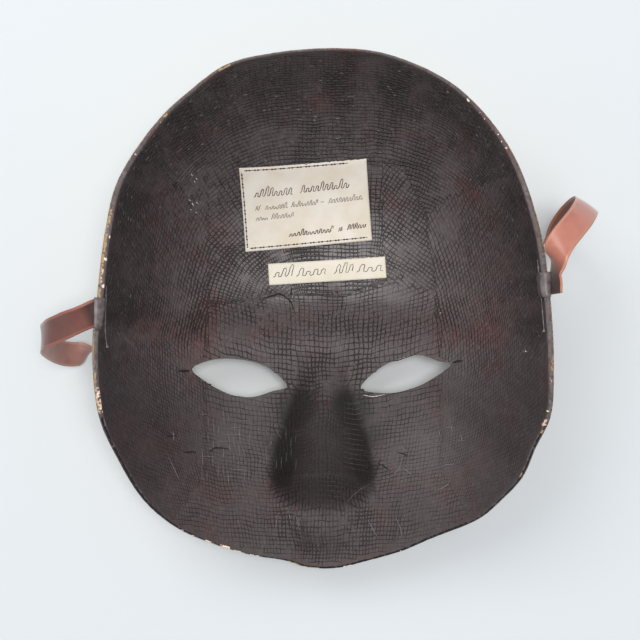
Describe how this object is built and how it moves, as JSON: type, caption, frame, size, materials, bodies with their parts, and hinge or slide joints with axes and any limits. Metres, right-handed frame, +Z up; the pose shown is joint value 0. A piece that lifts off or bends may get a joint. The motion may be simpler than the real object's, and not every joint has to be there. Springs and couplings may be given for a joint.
{
  "type": "venetian mask",
  "caption": "Neutral papier-mache face mask with a gauze-lined dark hollow, eye holes, glued paper labels and satin ribbon ties, lying face down.",
  "frame": {"origin": "on the table, under the middle of the mask's own box, with the ribbon ties left out", "axes": "+X across the face, +Y up the face to the forehead, +Z up out of the open back"},
  "size_m": [0.2089, 0.196, 0.0781],
  "materials": {
    "papier_mache": "dark paint over pressed paper and open gauze, worn at the rim",
    "printed_paper": "aged uncoated paper",
    "strip_paper": "aged uncoated paper",
    "satin_ribbon": "salmon brown satin"
  },
  "bodies": {
    "root": {"mask_shell": "papier_mache", "printed_label": "printed_paper", "name_strip": "strip_paper", "left_ribbon_run": "satin_ribbon", "left_ribbon_roll": "satin_ribbon", "right_ribbon_run": "satin_ribbon", "right_ribbon_roll": "satin_ribbon"}
  },
  "joints": []
}
